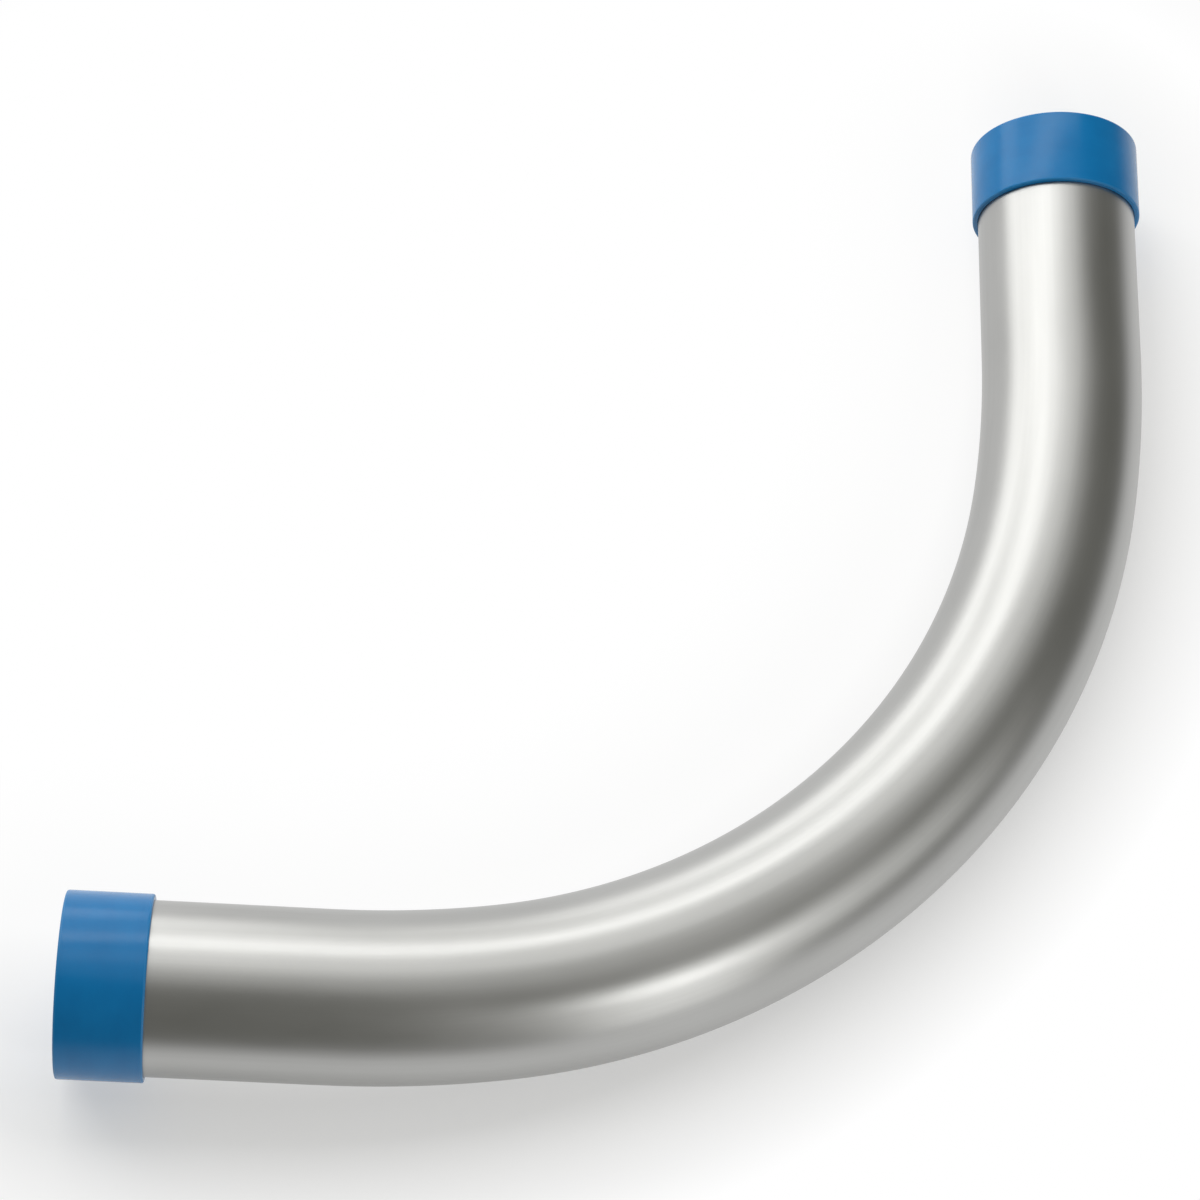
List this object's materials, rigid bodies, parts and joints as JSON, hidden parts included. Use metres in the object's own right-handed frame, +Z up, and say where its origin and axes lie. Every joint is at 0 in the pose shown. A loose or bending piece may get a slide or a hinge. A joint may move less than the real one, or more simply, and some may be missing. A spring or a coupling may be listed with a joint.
{
  "type": "conduit elbow",
  "caption": "Quarter-bend elbow of rigid steel conduit with taper-threaded ends under pull-off plastic thread caps; turns a cable run through a right angle.",
  "frame": {"origin": "under the middle of the bounding box, on the surface that the elbow lies on", "axes": "+Z up, square to the plane of the bend; -X out of the left mouth; +Y out of the top mouth"},
  "size_m": [0.3888, 0.3888, 0.0645],
  "materials": {
    "zinc_coated_steel": "satin galvanised",
    "blue_cap_plastic": "satin moulded"
  },
  "bodies": {
    "tube": {"elbow_tube": "zinc_coated_steel"},
    "left_cap": {"left_thread_cap": "blue_cap_plastic"},
    "top_cap": {"top_thread_cap": "blue_cap_plastic"}
  },
  "joints": [
    {"name": "left_cap_pull", "type": "slide", "parent": "tube", "child": "left_cap", "axis": [-1, 0, 0], "range_m": [0, 0.15]},
    {"name": "top_cap_pull", "type": "slide", "parent": "tube", "child": "top_cap", "axis": [0, 1, 0], "range_m": [0, 0.15]}
  ]
}
